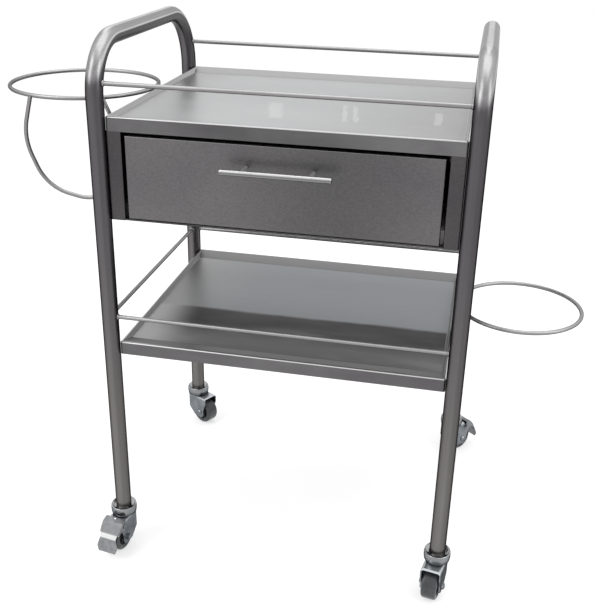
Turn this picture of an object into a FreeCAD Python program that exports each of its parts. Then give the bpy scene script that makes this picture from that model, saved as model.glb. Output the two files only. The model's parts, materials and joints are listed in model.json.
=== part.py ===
import FreeCAD, Part
import math
import os

# Instrument table on casters: two bent tube side frames, two tray shelves,
# a drawer under the top shelf and rod holders at both sides.
# Millimetres. The origin is on the floor, below the middle of the whole width from
# ring to ring, and midway between the front and rear legs. The pieces are drawn
# about the middle of the four legs and moved sideways when they are saved.
# +X is to the right, +Y to the back and +Z up.

V = FreeCAD.Vector
os.makedirs("parts", exist_ok=True)

# Side frames
leg_pitch_x = 530.0
leg_pitch_y = 416.0
tube_d = 25.4
tube_wall = 1.2
bar_z = 837.3
tube_end_z = 73.3
front_bend_r = 76.0
rear_bend_r = 98.0

# Rod rails, the upper ones below the bar and the lower ones above the shelf,
# and how close welded pieces lie to each other
rod_d = 6.4
top_rail_drop = 55.3
lower_rail_rise = 42.8
weld_gap = 0.15

# Tray shelves: a long slope at the front and back, a short one at the sides
top_shelf_drop = 100.0
lower_shelf_z = 384.3
sheet = 1.2
lip_h = 21.0
fold_r = 2.6
tray_corner_r = 3.5
rim_w = 4.0
step_end_w = 26.0
step_side_w = 3.5
step_d = 6.0
dish_edge_r = 2.2
rim_edge_r = 0.8

# Rod holders at the sides
upper_ring_r = 117.9
upper_ring_rise = 0.5
lower_ring_r = 97.4
lower_ring_out = 90.0
hoop_front_deg = -107.0
hoop_side_deg = -55.0
hoop_end_in = 2.0

# Corners of the hoop in ring radii, along the line between its ends and down
hoop_shape = [(-0.042, 0.0), (-0.187, -0.560), (0.068, -1.221),
              (0.721, -1.400), (1.128, -1.035), (1.086, -0.466)]
hoop_bend_share = 0.45

# Drawer housing
housing_drop = 152.0
side_w = 21.9
tuck_gap = 0.1
sheet_bend_r = 1.8
back_flange = 22.0
sill_h = 2.7
sill_depth = 20.0

# Drawer
drawer_gap = 5.3
sill_gap = 0.5
front_depth = 16.0
front_return = 12.0
front_edge_r = 1.6
box_sheet = 1.0
box_h = 96.0
box_len = 350.0
box_corner_r = 5.0
box_foot_r = 3.0
hem_w = 2.4
hem_h = 4.0

# Roller runners
runner_space = 12.5
runner_lift = 2.3
runner_h = 20.0
runner_flange = 10.0
runner_t = 1.2
runner_play = 0.15
roller_r = 8.5
roller_w = 6.5
roller_side_gap = 0.5
pin_r = 2.5
pin_head_r = 4.0
pin_head_t = 0.55
bore_gap = 0.05
seat_gap = 0.05
front_roller_back = 9.5
rear_roller_in = 12.0
runner_end_gap = 0.25
runner_screw_r = 3.4
runner_screw_h = 1.7
runner_screw_count = 3
foot_w = 12.0

# Handle
handle_len = 156.0
handle_d = 8.0
handle_pitch = 96.0
handle_post_d = 5.6
handle_out = 30.0
handle_drop = 32.3
handle_end_r = 1.2
handle_screw_r = 2.0
handle_screw_head_r = 3.8
handle_screw_head_h = 2.4
handle_screw_grip = 14.0

# Casters
wheel_r = 25.0
tyre_half_w = 12.6
tyre_seat_r = 18.5
trail = 20.0
fork_t = 2.0
fork_inner_half = 14.5
fork_bend_r = 4.0
crown_top_z = 60.0
crown_r = 19.4
crown_front = 31.0
fork_boss_r = 11.0
stem_r = 5.5
axle_r = 3.0
nut_r = 7.2
swivel_gap = 0.25
cup_r = 21.35
cup_rise = 15.2
plug_len = 24.0
trail_deg = {"front_left": -100.0, "front_right": -101.0, "rear_left": -30.0, "rear_right": 50.0}
braked = ("front_left", "rear_right")

# Brake pedals
pedal_t = 1.5
pedal_side_gap = 0.3
pedal_pin_t = 29.0
pedal_pin_z = 52.0
pedal_pin_head_t = 1.3
pedal_top_half = 18.3
pedal_neck_half = 14.0
pedal_foot_half = 19.0
pedal_tip_half = 14.5
pedal_reach = 31.0
pedal_drop = 44.0
pedal_trim_drop = 46.0
shoe_half_w = 9.0
shoe_r = 1.7
shoe_rest_gap = 4.5

tube_r = tube_d / 2
rod_r = rod_d / 2
leg_x = leg_pitch_x / 2
leg_y = leg_pitch_y / 2
top_rail_z = bar_z - top_rail_drop
top_shelf_z = bar_z - top_shelf_drop
lower_rail_z = lower_shelf_z + lower_rail_rise
housing_bottom_z = top_shelf_z - housing_drop
tray_x = leg_x - tube_r - weld_gap
tray_y = leg_y
opening_x = tray_x - side_w
housing_top_z = top_shelf_z - lip_h - tuck_gap
upper_ring_z = top_shelf_z + upper_ring_rise
ring_drop = upper_ring_rise + fold_r
ring_reach = math.sqrt((rod_r + fold_r + weld_gap) ** 2 - ring_drop ** 2)
upper_ring_x = -(tray_x - fold_r + ring_reach) - upper_ring_r
lower_ring_z = lower_rail_z - rod_d - weld_gap
lower_ring_x = leg_x + lower_ring_out
middle_x = (upper_ring_x - upper_ring_r + lower_ring_x + lower_ring_r) / 2
drawer_x = opening_x - drawer_gap
drawer_top_z = top_shelf_z - lip_h - drawer_gap
drawer_bottom_z = housing_bottom_z + sill_h + sill_gap
drawer_face_y = -tray_y
drawer_back_y = drawer_face_y + front_depth
box_x = opening_x - runner_space
runner_z = housing_bottom_z + runner_lift
runner_top_z = runner_z + runner_h
box_front_y = drawer_back_y + seat_gap
box_back_y = box_front_y + box_len
wheel_y_gap = fork_inner_half - 0.4
LEGS = {
    "front_left": (-leg_x, -leg_y),
    "front_right": (leg_x, -leg_y),
    "rear_left": (-leg_x, leg_y),
    "rear_right": (leg_x, leg_y),
}


# General helpers

def save(name, *solids):
    """Write one sub-part, moved to centre the whole width; more than one solid makes a group."""
    shape = solids[0].copy() if len(solids) == 1 else Part.makeCompound(list(solids))
    shape.translate(V(-middle_x, 0, 0))
    shape.exportStep("parts/" + name + ".step")
    print(name, len(shape.Solids), shape.isValid())


def box(low, high):
    """A block between two corners."""
    size = V(*high) - V(*low)
    return Part.makeBox(size.x, size.y, size.z, V(*low))


def rod(start, end, radius):
    """A round bar between two points."""
    axis = V(*end) - V(*start)
    return Part.makeCylinder(radius, axis.Length, V(*start), axis)


def flip(shape):
    """The same piece on the other side of the table."""
    return shape.mirror(V(0, 0, 0), V(1, 0, 0))


def route_edges(points, radii):
    """Straight runs joined by tangent arcs, one radius for each inner point."""
    edges = []
    here = points[0]
    for index in range(1, len(points) - 1):
        corner = points[index]
        back = (points[index - 1] - corner).normalize()
        ahead = (points[index + 1] - corner).normalize()
        half = math.acos(max(-1.0, min(1.0, -back.dot(ahead)))) / 2
        radius = radii[index - 1]
        start = corner + back * (radius * math.tan(half))
        end = corner + ahead * (radius * math.tan(half))
        inward = (back + ahead).normalize()
        middle = corner + inward * (radius / math.cos(half) - radius)
        if (start - here).Length > 1e-6:
            edges.append(Part.LineSegment(here, start).toShape())
        edges.append(Part.Arc(start, middle, end).toShape())
        here = end
    edges.append(Part.LineSegment(here, points[-1]).toShape())
    return edges


def swept(edges, radius):
    """A round section carried along a route."""
    first = edges[0]
    start = first.valueAt(first.FirstParameter)
    along = first.tangentAt(first.FirstParameter)
    circle = Part.Wire([Part.makeCircle(radius, start, along)])
    return Part.Wire(edges).makePipeShell([circle], True, False)


def shifted(points, shift):
    """A flat open line of corners, moved sideways by the same distance all along."""
    moved = []
    last = len(points) - 1
    for index, point in enumerate(points):
        ahead = (points[min(index + 1, last)] - points[min(index, last - 1)]).normalize()
        back = (points[max(index, 1)] - points[max(index - 1, 0)]).normalize()
        side_a = V(-ahead.y, ahead.x, 0)
        side_b = V(-back.y, back.x, 0)
        mitre = (side_a + side_b).normalize()
        moved.append(point + mitre * (shift / mitre.dot(side_a)))
    return moved


def folded(points, thickness, bend_r):
    """The edge face of folded sheet in the XY plane, from its middle line."""
    radii = {1: [], -1: []}
    for index in range(1, len(points) - 1):
        turn = (points[index] - points[index - 1]).cross(points[index + 1] - points[index]).z
        inner_side = 1 if turn > 0 else -1
        for side in (1, -1):
            change = -thickness / 2 if side == inner_side else thickness / 2
            radii[side].append(bend_r + change)
    left = route_edges(shifted(points, thickness / 2), radii[1])
    right = route_edges(shifted(points, -thickness / 2), radii[-1])
    left_pts = shifted(points, thickness / 2)
    right_pts = shifted(points, -thickness / 2)
    caps = [Part.LineSegment(left_pts[0], right_pts[0]).toShape(),
            Part.LineSegment(left_pts[-1], right_pts[-1]).toShape()]
    return Part.Face(Part.Wire(Part.__sortEdges__(left + right + caps)))


def outline(points, radii=None):
    """A flat closed outline in the XY plane; a corner with a radius is rounded."""
    count = len(points)
    radii = radii or [0] * count
    edges = []
    ends = []
    for index, corner in enumerate(points):
        back = (points[index - 1] - corner).normalize()
        ahead = (points[(index + 1) % count] - corner).normalize()
        radius = radii[index]
        if radius == 0:
            ends.append((corner, corner))
            continue
        half = math.acos(max(-1.0, min(1.0, -back.dot(ahead)))) / 2
        start = corner + back * (radius * math.tan(half))
        end = corner + ahead * (radius * math.tan(half))
        inward = (back + ahead).normalize()
        middle = corner + inward * (radius / math.cos(half) - radius)
        edges.append(Part.Arc(start, middle, end).toShape())
        ends.append((start, end))
    for index in range(count):
        start = ends[index][1]
        end = ends[(index + 1) % count][0]
        if (end - start).Length > 1e-6:
            edges.append(Part.LineSegment(start, end).toShape())
    return Part.Face(Part.Wire(Part.__sortEdges__(edges)))


def prism(face, depth, turn_x=0.0, base=(0, 0, 0)):
    """A flat outline given its depth, stood up by a turn about X, then moved."""
    solid = face.extrude(V(0, 0, depth))
    if turn_x:
        solid.rotate(V(0, 0, 0), V(1, 0, 0), turn_x)
    solid.translate(V(*base))
    return solid


def rounded_rect(half_x, half_y, radius, z):
    """A rectangle with round corners, as a wire at height z."""
    corners = [V(-half_x, -half_y, 0), V(half_x, -half_y, 0), V(half_x, half_y, 0), V(-half_x, half_y, 0)]
    wire = outline(corners, [radius] * 4).OuterWire
    wire.translate(V(0, 0, z))
    return wire


def turned(profile, axis=(0, 0, 1)):
    """A solid of revolution; the profile's points are radius and height, or an arc of three."""
    edges = []
    for item in profile:
        points = [V(r, 0, z) for r, z in item]
        if len(points) == 3:
            edges.append(Part.Arc(*points).toShape())
        else:
            edges.append(Part.LineSegment(*points).toShape())
    solid = Part.Face(Part.Wire(edges)).revolve(V(0, 0, 0), V(0, 0, 1), 360)
    if axis == (0, 1, 0):
        solid.rotate(V(0, 0, 0), V(1, 0, 0), -90)
    return solid


def chain(points):
    """The straight sides of a closed profile, as pairs of points."""
    return [(points[i], points[(i + 1) % len(points)]) for i in range(len(points))]


def hexagon(across_half, height, z):
    """A hexagonal nut blank."""
    corners = [V(across_half * math.cos(math.radians(60 * i)), across_half * math.sin(math.radians(60 * i)), 0)
               for i in range(6)]
    return prism(outline(corners), height, base=(0, 0, z))


# Frame

def frame_route(x):
    """The middle line of one side frame: front leg, bar and rear leg."""
    points = [V(x, -leg_y, tube_end_z), V(x, -leg_y, bar_z), V(x, leg_y, bar_z), V(x, leg_y, tube_end_z)]
    return route_edges(points, [front_bend_r, rear_bend_r])


def side_frame(x):
    """One tube, bent at the front and the rear into a handle bar above two legs."""
    edges = frame_route(x)
    return swept(edges, tube_r).cut(swept(edges, tube_r - tube_wall))


def bend_offset(z, bend_r):
    """How far the bent tube has left the leg's line at a height."""
    into_bend = max(0.0, z - (bar_z - bend_r))
    return bend_r - math.sqrt(bend_r ** 2 - into_bend ** 2)


def frame_space(x):
    """The space of one side frame and its welds, to hollow the ends of the rails."""
    return swept(frame_route(x), tube_r + weld_gap)


def cross_rail(y, z):
    """A rod from side frame to side frame, its ends hollowed to fit the tubes."""
    rail = rod((-leg_x, y, z), (leg_x, y, z), rod_r)
    pieces = rail.cut(frame_space(-leg_x)).cut(frame_space(leg_x)).Solids
    return max(pieces, key=lambda piece: piece.Volume)


def side_rail(x, z):
    """A rod from the front leg to the rear leg of one side."""
    return rod((x, -leg_y, z), (x, leg_y, z), rod_r).cut(frame_space(x))


# Tray shelves

def tray(top_z):
    """A pressed tray: raised rim, sloped steps, sunk floor and turned-down lips."""
    low_z = top_z - lip_h
    skin = Part.makeLoft([rounded_rect(tray_x, tray_y, tray_corner_r, low_z),
                          rounded_rect(tray_x, tray_y, tray_corner_r, top_z)], True)
    rim = [e for e in skin.Edges if e.BoundBox.ZMin > top_z - 0.1]
    skin = skin.makeFillet(fold_r, rim)
    hollow = Part.makeLoft([rounded_rect(tray_x - sheet, tray_y - sheet, tray_corner_r - sheet, low_z),
                            rounded_rect(tray_x - sheet, tray_y - sheet, tray_corner_r - sheet, top_z - sheet)],
                           True)
    rim = [e for e in hollow.Edges if e.BoundBox.ZMin > top_z - sheet - 0.1]
    hollow = hollow.makeFillet(fold_r - sheet, rim)
    pan = skin.cut(dish_form(top_z, 0.0))
    inside_x = tray_x - (rim_w + fold_r) / 2
    rim = [e for e in pan.Edges if e.BoundBox.ZMin > top_z - 0.01 and e.BoundBox.XMax < inside_x
           and e.BoundBox.XMin > -inside_x]
    return pan.makeFillet(rim_edge_r, rim).cut(hollow.cut(dish_form(top_z, sheet)))


def slope_growth(step_w, skin_t):
    """How far a slope's foot moves outward when the slope is grown by the sheet."""
    return skin_t * (math.hypot(step_w, step_d) - step_w) / step_d


def dish_profile(half, step_w, skin_t):
    """The dish seen along one of its sides: a level floor, two slopes and the room above."""
    outer = half - rim_w + slope_growth(step_w, skin_t)
    low = -skin_t - step_d
    foot_r = dish_edge_r + skin_t
    return outline([V(-outer, sheet, 0), V(-outer, -skin_t, 0), V(step_w - outer, low, 0),
                    V(outer - step_w, low, 0), V(outer, -skin_t, 0), V(outer, sheet, 0)],
                   [0, 0, foot_r, foot_r, 0, 0])


def dish_form(top_z, skin_t):
    """The sunk middle of a tray, or the same grown by the sheet for its underside."""
    ends = dish_profile(tray_y, step_end_w, skin_t).extrude(V(0, 0, 2 * tray_x))
    ends.rotate(V(0, 0, 0), V(1, 1, 1), 120)
    ends.translate(V(-tray_x, 0, top_z))
    sides = prism(dish_profile(tray_x, step_side_w, skin_t), 2 * tray_y, 90, (0, tray_y, top_z))
    return ends.common(sides)


# Rod holders

def ring(x, z, radius):
    """A rod bent to a closed ring."""
    return Part.makeTorus(radius, rod_r, V(x, 0, z), V(0, 0, 1))


def cradle_hoop():
    """A rod hoop that hangs below the front of the upper ring, its ends hollowed to fit it."""
    centre = V(upper_ring_x, 0, upper_ring_z)
    front = math.radians(hoop_front_deg)
    side = math.radians(hoop_side_deg)
    start = centre + V(math.cos(front), math.sin(front), 0) * upper_ring_r
    end = centre + V(math.cos(side), math.sin(side), 0) * upper_ring_r
    across = (end - start).normalize()
    span = (end - start).Length
    points = [start + (across * u + V(0, 0, w)) * upper_ring_r for u, w in hoop_shape]
    points.append(start + across * (span + hoop_end_in))
    radii = []
    for index in range(1, len(points) - 1):
        back = points[index - 1] - points[index]
        ahead = points[index + 1] - points[index]
        shorter = min(back.Length, ahead.Length)
        half = (math.pi - back.getAngle(ahead)) / 2
        radii.append(hoop_bend_share * shorter / math.tan(half))
    hoop = swept(route_edges(points, radii), rod_r)
    seat = Part.makeTorus(upper_ring_r, rod_r + weld_gap, centre, V(0, 0, 1))
    above = box((upper_ring_x - 2 * upper_ring_r, -2 * upper_ring_r, upper_ring_z),
                (upper_ring_x + 2 * upper_ring_r, 2 * upper_ring_r, upper_ring_z + rod_d))
    pieces = hoop.cut(seat).cut(above).Solids
    return max(pieces, key=lambda piece: piece.Volume)


# Drawer housing

def housing_side():
    """The left side of the housing: a folded channel, open to the back."""
    middle = sheet / 2
    outer = -tray_x + middle
    inner = -opening_x - middle
    front = -tray_y + middle
    back = tray_y - tray_corner_r
    face = folded([V(outer, back, 0), V(outer, front, 0), V(inner, front, 0), V(inner, back, 0)],
                  sheet, sheet_bend_r)
    return prism(face, housing_top_z - housing_bottom_z, base=(0, 0, housing_bottom_z))


def housing_back():
    """The back panel, with flanges turned forward along the two sides."""
    inside = opening_x - seat_gap - sheet / 2
    back = tray_y - sheet / 2
    face = folded([V(-inside, back - back_flange, 0), V(-inside, back, 0),
                   V(inside, back, 0), V(inside, back - back_flange, 0)], sheet, sheet_bend_r)
    return prism(face, housing_top_z - housing_bottom_z, base=(0, 0, housing_bottom_z))


def housing_sill():
    """A folded strip across the front, under the drawer."""
    front = -tray_y + sheet / 2
    base = housing_bottom_z + sheet / 2
    face = folded([V(front, base + sill_h - sheet / 2, 0), V(front, base, 0), V(front + sill_depth, base, 0)],
                  sheet, sheet_bend_r * 0.6)
    length = 2 * (opening_x - seat_gap)
    solid = face.extrude(V(0, 0, length))
    solid.rotate(V(0, 0, 0), V(1, 1, 1), 120)
    solid.translate(V(-length / 2, 0, 0))
    return solid


# Runners, drawn on the left side: the wall is at -opening_x and the drawer box at -box_x

front_roller_y = drawer_back_y + front_roller_back
rear_roller_y = box_back_y - rear_roller_in
track_z = runner_z + runner_t
rear_roller_z = track_z + roller_r + runner_play
front_roller_z = runner_top_z + 0.8 - roller_r
ride_z = front_roller_z + roller_r + runner_play
cabinet_web_x = -opening_x + seat_gap + runner_t
drawer_web_x = -box_x - seat_gap - runner_t
cabinet_back_y = rear_roller_y + roller_r + 3.0


def roller_pin(x, y, z, toward):
    """A stub pin riveted to a runner; toward is +1 to the middle of the table."""
    reach = roller_side_gap + roller_w + seat_gap
    pin = rod((x, y, z), (x + toward * reach, y, z), pin_r)
    head = rod((x + toward * reach, y, z), (x + toward * (reach + pin_head_t), y, z), pin_head_r)
    return pin.fuse(head)


def cabinet_runner():
    """The fixed member: a C channel on the housing side with a folded front end and a roller pin."""
    web = cabinet_web_x - runner_t / 2
    tip = cabinet_web_x + runner_flange - runner_t
    low = track_z - runner_t / 2
    high = runner_top_z - runner_t / 2
    face = folded([V(tip, low, 0), V(web, low, 0), V(web, high, 0), V(tip, high, 0)], runner_t, sheet_bend_r)
    length = cabinet_back_y - drawer_back_y - seat_gap
    channel = prism(face, length, 90, (0, cabinet_back_y, 0))
    notch = box((cabinet_web_x, drawer_back_y, runner_top_z - 2 * runner_t),
                (tip + 1, front_roller_y + roller_r + 3, runner_top_z + 1))
    end_plate = box((cabinet_web_x - runner_t, drawer_back_y - runner_t, runner_z),
                    (-drawer_x - runner_end_gap, drawer_back_y, runner_top_z))
    web_end = box((cabinet_web_x - runner_t, drawer_back_y - runner_t, runner_z + runner_t),
                  (cabinet_web_x, drawer_back_y + runner_t, runner_top_z - 2 * runner_t))
    return channel.cut(notch).fuse(end_plate).fuse(web_end).fuse(
        roller_pin(cabinet_web_x, front_roller_y, front_roller_z, 1)).removeSplitter()


def drawer_runner():
    """The moving member: a Z section on the drawer's side with a roller pin at its rear."""
    web = drawer_web_x + runner_t / 2
    top = ride_z + runner_t / 2
    low = drawer_bottom_z + 1.0 + runner_t / 2
    face = folded([V(cabinet_web_x + 0.9, top, 0), V(web, top, 0), V(web, low, 0), V(web + foot_w, low, 0)],
                  runner_t, sheet_bend_r)
    length = box_len - seat_gap
    strip = prism(face, length, 90, (0, box_back_y, 0))
    return strip.fuse(roller_pin(drawer_web_x, rear_roller_y, rear_roller_z, -1)).removeSplitter()


def roller(x, y, z):
    """A plastic runner roller with a groove on its face and a running bore."""
    outer = rod((x, y, z), (x + roller_w, y, z), roller_r)
    edges = [e for e in outer.Edges if abs(e.Length - 2 * math.pi * roller_r) < 0.1]
    outer = outer.makeFillet(0.8, edges)
    return outer.cut(rod((x - 1, y, z), (x + roller_w + 1, y, z), pin_r + bore_gap))


def screw_head(x, y, z, toward):
    """A low round screw head against a runner's web, with its shank through the web."""
    profile = chain([(0, 0), (runner_screw_r, 0), (runner_screw_r, runner_screw_h * 0.5),
                     (runner_screw_r * 0.6, runner_screw_h), (0, runner_screw_h)])
    head = turned(profile)
    head.rotate(V(0, 0, 0), V(0, 1, 0), 90 * toward)
    head.translate(V(x, y, z))
    return head


def screw_row(x, z, start, end, toward):
    """The screws of one runner, evenly spaced between two ends."""
    step = (end - start) / (runner_screw_count - 1)
    return [screw_head(x, start + step * i, z, toward) for i in range(runner_screw_count)]


# Drawer

box_bottom_z = drawer_bottom_z + 1.0 + runner_t + seat_gap


def drawer_front():
    """A folded pan: face, four sides and returns that carry the drawer box."""
    low = (-drawer_x, drawer_face_y, drawer_bottom_z)
    high = (drawer_x, drawer_back_y, drawer_top_z)
    pan = box(low, high)
    face_edges = [e for e in pan.Edges if e.BoundBox.YMax < drawer_face_y + 0.1]
    pan = pan.makeFillet(front_edge_r, face_edges)
    room = box((low[0] + sheet, low[1] + sheet, low[2] + sheet),
               (high[0] - sheet, high[1] - sheet, high[2] - sheet))
    window = box((low[0] + front_return, high[1] - 2 * sheet, low[2] + front_return),
                 (high[0] - front_return, high[1] + 1, high[2] - front_return))
    pan = pan.cut(room).cut(window)
    for side in (-1, 1):
        x = side * handle_pitch / 2
        pan = pan.cut(rod((x, drawer_face_y - 1, handle_z), (x, drawer_face_y + sheet + 1, handle_z),
                          handle_screw_r + 0.2))
    return pan


def drawer_box():
    """An open box of thin sheet with rounded corners and a turned hem round its top."""
    half = box_x
    mid_y = (box_front_y + box_back_y) / 2
    half_y = box_len / 2
    top_z = box_bottom_z + box_h

    def block(inset, low_z, high_z, radius, foot):
        solid = Part.makeLoft([rounded_rect(half - inset, half_y - inset, radius, low_z),
                               rounded_rect(half - inset, half_y - inset, radius, high_z)], True)
        if foot:
            ring_edges = [e for e in solid.Edges if e.BoundBox.ZMax < low_z + 0.1]
            solid = solid.makeFillet(foot, ring_edges)
        solid.translate(V(0, mid_y, 0))
        return solid

    shell = block(0, box_bottom_z, top_z, box_corner_r, box_foot_r)
    hem = block(0, top_z - hem_h, top_z, box_corner_r, 0)
    inner = block(box_sheet, box_bottom_z + box_sheet, top_z + 1, box_corner_r - box_sheet,
                  box_foot_r - box_sheet)
    hem_hole = block(hem_w, top_z - hem_h - 1, top_z + 1, box_corner_r - hem_w, 0)
    return shell.cut(inner).fuse(hem.cut(hem_hole)).removeSplitter()


handle_z = drawer_top_z - handle_drop
handle_y = drawer_face_y - handle_out


def handle_bar():
    """A round bar with softened ends."""
    half = handle_len / 2
    bar = rod((-half, handle_y, handle_z), (half, handle_y, handle_z), handle_d / 2)
    ends = [e for e in bar.Edges if abs(e.Length - math.pi * handle_d) < 0.1]
    return bar.makeFillet(handle_end_r, ends)


def handle_post(x):
    """A short post from the drawer front, its outer end hollowed to fit the bar."""
    post = rod((x, handle_y, handle_z), (x, drawer_face_y - seat_gap, handle_z), handle_post_d / 2)
    post = post.cut(rod((x - handle_post_d, handle_y, handle_z), (x + handle_post_d, handle_y, handle_z),
                        handle_d / 2 + seat_gap))
    solid = max(post.Solids, key=lambda piece: piece.BoundBox.YMax)
    return solid.cut(rod((x, drawer_face_y - handle_screw_grip + 3, handle_z),
                         (x, drawer_face_y + 1, handle_z), handle_screw_r + seat_gap))


def handle_screw(x):
    """A round headed screw inside the drawer front, into the post."""
    inside = drawer_face_y + sheet + seat_gap
    shank = rod((x, inside - handle_screw_grip + 3, handle_z), (x, inside, handle_z), handle_screw_r)
    head = rod((x, inside, handle_z), (x, inside + handle_screw_head_h, handle_z), handle_screw_head_r)
    rim = [e for e in head.Edges if e.BoundBox.YMin > inside + handle_screw_head_h - 0.1 and e.Length > 1]
    return head.makeFillet(1.2, rim).fuse(shank)


# Casters, drawn about the stem with the wheel trailing towards +X

cup_z = crown_top_z + 1.0
nut_h = 5.0
nut_top_z = crown_top_z - fork_t - swivel_gap


def caster_cup():
    """The dished cup that the tube's end stands in, hollow below for the bearing."""
    floor_z = tube_end_z - weld_gap
    top_z = cup_z + cup_rise
    bore = stem_r + bore_gap
    seat = tube_r + 0.6
    profile = [
        ((bore, floor_z), (seat, floor_z)),
        ((seat, floor_z), (17.0, floor_z + 0.9), (19.0, top_z - 0.5)),
        ((19.0, top_z - 0.5), (20.0, top_z), (20.9, top_z - 0.9)),
        ((20.9, top_z - 0.9), (cup_r, cup_z + 8.0), (20.4, cup_z)),
        ((20.4, cup_z), (18.9, cup_z)),
        ((18.9, cup_z), (18.9, floor_z - 4.0)),
        ((18.9, floor_z - 4.0), (18.2, floor_z - 2.6), (16.6, floor_z - 2.0)),
        ((16.6, floor_z - 2.0), (bore, floor_z - 2.0)),
        ((bore, floor_z - 2.0), (bore, floor_z)),
    ]
    return turned(profile)


def caster_stem():
    """The swivel stem: a long shank in the tube plug, a collar, and a nut under the fork."""
    collar_top = tube_end_z - weld_gap - 2.0 - seat_gap
    collar_low = crown_top_z + 6.8
    profile = chain([(0, nut_top_z - nut_h - 1.5), (stem_r - 0.6, nut_top_z - nut_h - 1.5),
                     (stem_r, nut_top_z - nut_h - 0.9), (stem_r, collar_low), (9.0, collar_low),
                     (9.0, collar_top), (stem_r, collar_top), (stem_r, tube_end_z + plug_len + 2),
                     (stem_r - 1.0, tube_end_z + plug_len + 3), (0, tube_end_z + plug_len + 3)])
    nut = hexagon(nut_r, nut_h, nut_top_z - nut_h)
    return turned(profile).fuse(nut)


def tube_plug():
    """The plastic plug that holds the stem in the tube, with three shallow ribs."""
    bore = stem_r + bore_gap
    outer = tube_r - tube_wall - seat_gap
    low = tube_end_z
    profile = chain([(bore, low), (outer - 0.8, low), (outer - 0.8, low + 4), (outer, low + 5),
                     (outer, low + 9), (outer - 0.8, low + 10), (outer - 0.8, low + 14), (outer, low + 15),
                     (outer, low + plug_len - 2), (outer - 1.5, low + plug_len), (bore, low + plug_len)])
    return turned(profile)


def swivel_bearing():
    """The race ring between fork crown and stem collar."""
    low = crown_top_z + swivel_gap
    top = crown_top_z + 6.8 - seat_gap
    bore = stem_r + bore_gap
    profile = [
        ((bore, low), (13.0, low)),
        ((13.0, low), (14.6, low + 0.8), (15.2, low + 2.4)),
        ((15.2, low + 2.4), (15.2, top - 1.0)),
        ((15.2, top - 1.0), (14.2, top)),
        ((14.2, top), (bore, top)),
        ((bore, top), (bore, low)),
    ]
    return turned(profile)


def fork(has_pedal):
    """A pressed fork: folded over the wheel, narrowed to the axle, with a round crown."""
    middle = fork_inner_half + fork_t / 2
    face = folded([V(-middle, 0, 0), V(-middle, crown_top_z - fork_t / 2, 0),
                   V(middle, crown_top_z - fork_t / 2, 0), V(middle, 0, 0)], fork_t, fork_bend_r)
    channel = face.extrude(V(0, 0, 4 * crown_r))
    channel.rotate(V(0, 0, 0), V(1, 1, 1), 120)
    channel.translate(V(-2 * crown_r, 0, 0))
    low = wheel_r - fork_boss_r
    side = outline([V(-crown_r, crown_top_z + 1, 0), V(-crown_r, crown_top_z - 22, 0),
                    V(trail - fork_boss_r - 3, low, 0), V(trail + fork_boss_r, low, 0),
                    V(trail + fork_boss_r, wheel_r + 6, 0), V(trail + fork_boss_r + 5, crown_top_z - 15, 0),
                    V(trail + fork_boss_r + 5, crown_top_z - 3, 0), V(crown_front, crown_top_z + 1, 0)],
                   [0, 8, 9, 9, 6, 8, 2, 0])
    side_solid = side.extrude(V(0, 0, 2 * fork_inner_half + 4 * fork_t))
    side_solid.rotate(V(0, 0, 0), V(1, 0, 0), 90)
    side_solid.translate(V(0, fork_inner_half + 2 * fork_t, 0))
    plan = rod((0, 0, 0), (0, 0, crown_top_z + 1), crown_r).fuse(
        box((0, -2 * fork_inner_half, 0), (3 * crown_r, 2 * fork_inner_half, crown_top_z + 1)))
    solid = channel.common(side_solid).common(plan)
    solid = solid.cut(rod((0, 0, crown_top_z - 10), (0, 0, crown_top_z + 1), stem_r + bore_gap))
    axle_y = fork_inner_half + fork_t + 1
    solid = solid.cut(rod((trail, -axle_y, wheel_r), (trail, axle_y, wheel_r), axle_r + seat_gap))
    if has_pedal:
        solid = solid.cut(rod((pedal_pin_t, -axle_y, pedal_pin_z), (pedal_pin_t, axle_y, pedal_pin_z),
                              pin_r + seat_gap))
    return solid.removeSplitter()


def axle_bolt():
    """The wheel's bolt with its round head, and the nut at the far end."""
    face_y = fork_inner_half + fork_t + seat_gap
    length = 2 * face_y + 5.0
    bolt = turned([((0, -3.2), (4.4, -2.2), (5.2, 0)), ((5.2, 0), (axle_r, 0)),
                   ((axle_r, 0), (axle_r, length - 0.6)), ((axle_r, length - 0.6), (axle_r - 0.6, length)),
                   ((axle_r - 0.6, length), (0, length)), ((0, length), (0, -3.2))], (0, 1, 0))
    bolt.translate(V(trail, -face_y, wheel_r))
    nut = hexagon(5.4, 3.6, 0).cut(rod((0, 0, -1), (0, 0, 5), axle_r + seat_gap))
    nut.rotate(V(0, 0, 0), V(1, 0, 0), -90)
    nut.translate(V(trail, face_y, wheel_r))
    return Part.makeCompound([bolt, nut])


def wheel_hub():
    """The wheel's plastic core: boss, thin web with ribs, and rim."""
    bore = axle_r + bore_gap
    half = wheel_y_gap
    rim_r = tyre_seat_r - seat_gap
    profile = chain([(bore, -half), (6.6, -half), (7.2, -3.0), (15.4, -2.4), (16.0, -11.0), (rim_r, -11.0),
                     (rim_r, 11.0), (16.0, 11.0), (15.4, 2.4), (7.2, 3.0), (6.6, half), (bore, half)])
    hub = turned(profile, (0, 1, 0))
    for index in range(6):
        rib = box((6.4, -8.5, -0.9), (15.9, 8.5, 0.9))
        rib.rotate(V(0, 0, 0), V(0, 1, 0), 60 * index)
        hub = hub.fuse(rib)
    hub.translate(V(trail, 0, wheel_r))
    return hub.removeSplitter()


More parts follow.
